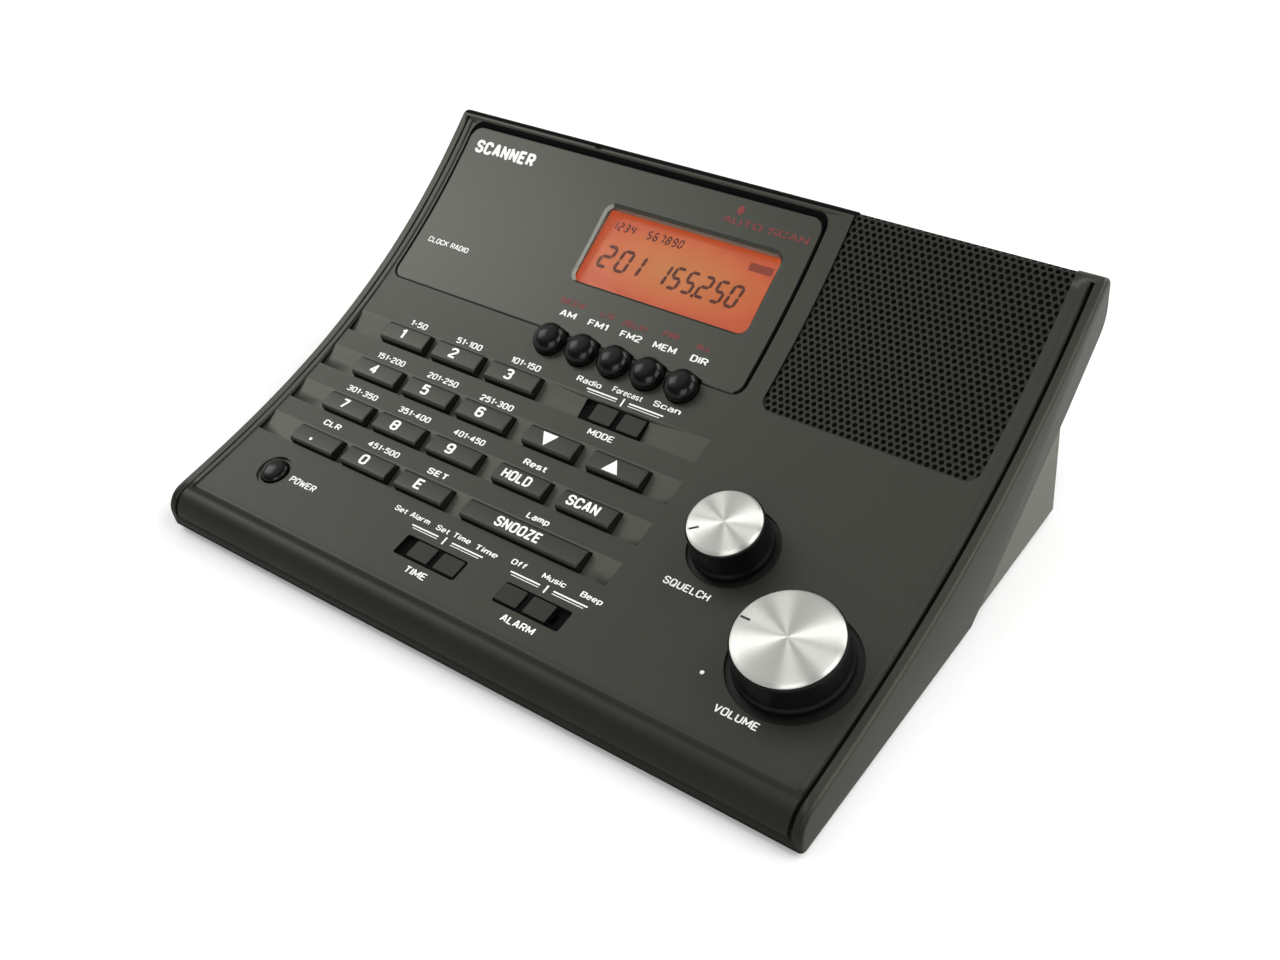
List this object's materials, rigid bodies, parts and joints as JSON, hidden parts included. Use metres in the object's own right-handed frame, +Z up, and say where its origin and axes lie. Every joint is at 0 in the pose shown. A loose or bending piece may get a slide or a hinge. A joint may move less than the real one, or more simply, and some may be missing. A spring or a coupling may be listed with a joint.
{
  "type": "desktop radio scanner",
  "caption": "Wedge-shaped desktop radio scanner with a lit display, keypad, round buttons, slide switches, perforated speaker grille and two rotary knobs.",
  "frame": {"origin": "middle of the overall footprint, on the surface the rubber feet stand on", "axes": "+X across the case towards the knobs, +Y from the low front edge to the tall rear, +Z up"},
  "size_m": [0.23, 0.1592, 0.0681],
  "materials": {
    "case_plastic": "fine matte moulded texture",
    "housing_plastic": "fine matte moulded texture",
    "fascia_plastic": "satin",
    "grille_plastic": "matte",
    "clear_window": "clear",
    "lcd": "lit from behind",
    "white_plastic": "satin",
    "gloss_black": "polished",
    "slider_plastic": "satin",
    "key_plastic": "satin",
    "spun_aluminium": "spun, fine concentric lines",
    "steel": "plated",
    "silicone": "matte",
    "circuit_board": "solder mask",
    "paper_cone": "pressed paper",
    "ferrite": "matte",
    "switch_metal": "tinned",
    "black_plastic": "moulded",
    "nickel": "nickel plated",
    "ribbon": "flexible PVC",
    "rubber": "matte"
  },
  "bodies": {
    "case": {"top_cover": "case_plastic", "bottom_cover": "housing_plastic", "fascia_panel": "fascia_plastic", "speaker_grille": "grille_plastic", "lcd_window": "clear_window", "lcd_glass": "lcd", "lcd_light_guide": "white_plastic", "lcd_frame": "white_plastic", "keypad_membrane": "silicone", "control_board": "circuit_board", "display_board": "circuit_board", "main_board": "circuit_board", "speaker_frame": "steel", "speaker_cone": "paper_cone", "speaker_magnet": "ferrite", "volume_pot": "switch_metal", "squelch_pot": "switch_metal", "slide_switch_bodies": "black_plastic", "tact_switches": "black_plastic", "antenna_connector": "nickel", "dc_jack": "black_plastic", "phone_jack": "black_plastic", "tuner_shield": "switch_metal", "ribbon_cables": "ribbon", "board_screws": "steel", "case_screws": "steel", "rubber_feet": "rubber"},
    "key_1": {"key_1": "key_plastic"},
    "key_2": {"key_2": "key_plastic"},
    "key_3": {"key_3": "key_plastic"},
    "key_4": {"key_4": "key_plastic"},
    "key_5": {"key_5": "key_plastic"},
    "key_6": {"key_6": "key_plastic"},
    "key_7": {"key_7": "key_plastic"},
    "key_8": {"key_8": "key_plastic"},
    "key_9": {"key_9": "key_plastic"},
    "key_0": {"key_0": "key_plastic"},
    "key_dot": {"key_dot": "key_plastic"},
    "key_enter": {"key_enter": "key_plastic"},
    "key_down": {"key_down": "key_plastic"},
    "key_up": {"key_up": "key_plastic"},
    "key_hold": {"key_hold": "key_plastic"},
    "key_scan": {"key_scan": "key_plastic"},
    "key_snooze": {"key_snooze": "key_plastic"},
    "band_button_1": {"band_button_1": "gloss_black"},
    "band_button_2": {"band_button_2": "gloss_black"},
    "band_button_3": {"band_button_3": "gloss_black"},
    "band_button_4": {"band_button_4": "gloss_black"},
    "band_button_5": {"band_button_5": "gloss_black"},
    "power_button": {"power_button": "gloss_black"},
    "mode_slider": {"mode_slider": "slider_plastic"},
    "time_slider": {"time_slider": "slider_plastic"},
    "alarm_slider": {"alarm_slider": "slider_plastic"},
    "volume_control": {"volume_knob": "gloss_black", "volume_knob_disc": "spun_aluminium", "volume_shaft": "steel"},
    "squelch_control": {"squelch_knob": "gloss_black", "squelch_knob_disc": "spun_aluminium", "squelch_shaft": "steel"}
  },
  "joints": [
    {"name": "key_1_press", "type": "slide", "parent": "case", "child": "key_1", "axis": [0, 0.2334, -0.9724], "range_m": [0, 0.001], "stiffness_N_per_m": 300, "springref_m": -0.001},
    {"name": "key_2_press", "type": "slide", "parent": "case", "child": "key_2", "axis": [0, 0.2334, -0.9724], "range_m": [0, 0.001], "stiffness_N_per_m": 300, "springref_m": -0.001},
    {"name": "key_3_press", "type": "slide", "parent": "case", "child": "key_3", "axis": [0, 0.2334, -0.9724], "range_m": [0, 0.001], "stiffness_N_per_m": 300, "springref_m": -0.001},
    {"name": "key_4_press", "type": "slide", "parent": "case", "child": "key_4", "axis": [0, 0.2334, -0.9724], "range_m": [0, 0.001], "stiffness_N_per_m": 300, "springref_m": -0.001},
    {"name": "key_5_press", "type": "slide", "parent": "case", "child": "key_5", "axis": [0, 0.2334, -0.9724], "range_m": [0, 0.001], "stiffness_N_per_m": 300, "springref_m": -0.001},
    {"name": "key_6_press", "type": "slide", "parent": "case", "child": "key_6", "axis": [0, 0.2334, -0.9724], "range_m": [0, 0.001], "stiffness_N_per_m": 300, "springref_m": -0.001},
    {"name": "key_7_press", "type": "slide", "parent": "case", "child": "key_7", "axis": [0, 0.2334, -0.9724], "range_m": [0, 0.001], "stiffness_N_per_m": 300, "springref_m": -0.001},
    {"name": "key_8_press", "type": "slide", "parent": "case", "child": "key_8", "axis": [0, 0.2334, -0.9724], "range_m": [0, 0.001], "stiffness_N_per_m": 300, "springref_m": -0.001},
    {"name": "key_9_press", "type": "slide", "parent": "case", "child": "key_9", "axis": [0, 0.2334, -0.9724], "range_m": [0, 0.001], "stiffness_N_per_m": 300, "springref_m": -0.001},
    {"name": "key_0_press", "type": "slide", "parent": "case", "child": "key_0", "axis": [0, 0.2334, -0.9724], "range_m": [0, 0.001], "stiffness_N_per_m": 300, "springref_m": -0.001},
    {"name": "key_dot_press", "type": "slide", "parent": "case", "child": "key_dot", "axis": [0, 0.2334, -0.9724], "range_m": [0, 0.001], "stiffness_N_per_m": 300, "springref_m": -0.001},
    {"name": "key_enter_press", "type": "slide", "parent": "case", "child": "key_enter", "axis": [0, 0.2334, -0.9724], "range_m": [0, 0.001], "stiffness_N_per_m": 300, "springref_m": -0.001},
    {"name": "key_down_press", "type": "slide", "parent": "case", "child": "key_down", "axis": [0, 0.2334, -0.9724], "range_m": [0, 0.001], "stiffness_N_per_m": 300, "springref_m": -0.001},
    {"name": "key_up_press", "type": "slide", "parent": "case", "child": "key_up", "axis": [0, 0.2334, -0.9724], "range_m": [0, 0.001], "stiffness_N_per_m": 300, "springref_m": -0.001},
    {"name": "key_hold_press", "type": "slide", "parent": "case", "child": "key_hold", "axis": [0, 0.2334, -0.9724], "range_m": [0, 0.001], "stiffness_N_per_m": 300, "springref_m": -0.001},
    {"name": "key_scan_press", "type": "slide", "parent": "case", "child": "key_scan", "axis": [0, 0.2334, -0.9724], "range_m": [0, 0.001], "stiffness_N_per_m": 300, "springref_m": -0.001},
    {"name": "key_snooze_press", "type": "slide", "parent": "case", "child": "key_snooze", "axis": [0, 0.2334, -0.9724], "range_m": [0, 0.001], "stiffness_N_per_m": 400, "springref_m": -0.001},
    {"name": "band_button_1_press", "type": "slide", "parent": "case", "child": "band_button_1", "axis": [0, 0.4695, -0.8829], "range_m": [0, 0.0008], "stiffness_N_per_m": 500, "springref_m": -0.001},
    {"name": "band_button_2_press", "type": "slide", "parent": "case", "child": "band_button_2", "axis": [0, 0.4695, -0.8829], "range_m": [0, 0.0008], "stiffness_N_per_m": 500, "springref_m": -0.001},
    {"name": "band_button_3_press", "type": "slide", "parent": "case", "child": "band_button_3", "axis": [0, 0.4695, -0.8829], "range_m": [0, 0.0008], "stiffness_N_per_m": 500, "springref_m": -0.001},
    {"name": "band_button_4_press", "type": "slide", "parent": "case", "child": "band_button_4", "axis": [0, 0.4695, -0.8829], "range_m": [0, 0.0008], "stiffness_N_per_m": 500, "springref_m": -0.001},
    {"name": "band_button_5_press", "type": "slide", "parent": "case", "child": "band_button_5", "axis": [0, 0.4695, -0.8829], "range_m": [0, 0.0008], "stiffness_N_per_m": 500, "springref_m": -0.001},
    {"name": "power_button_press", "type": "slide", "parent": "case", "child": "power_button", "axis": [0, 0.2334, -0.9724], "range_m": [0, 0.0008], "stiffness_N_per_m": 500, "springref_m": -0.001},
    {"name": "mode_slider_slide", "type": "slide", "parent": "case", "child": "mode_slider", "axis": [1, 0, 0], "range_m": [-0.0044, 0]},
    {"name": "time_slider_slide", "type": "slide", "parent": "case", "child": "time_slider", "axis": [1, 0, 0], "range_m": [-0.0044, 0]},
    {"name": "alarm_slider_slide", "type": "slide", "parent": "case", "child": "alarm_slider", "axis": [1, 0, 0], "range_m": [0, 0.0044]},
    {"name": "volume_turn", "type": "hinge", "parent": "case", "child": "volume_control", "pos_m": [0.0897, -0.0419, 0.01776], "axis": [0, -0.1614, 0.9869], "range_deg": [-240, 60]},
    {"name": "squelch_turn", "type": "hinge", "parent": "case", "child": "squelch_control", "pos_m": [0.0562, -0.0185, 0.02246], "axis": [0, -0.2348, 0.972], "range_deg": [-279, 21]}
  ]
}
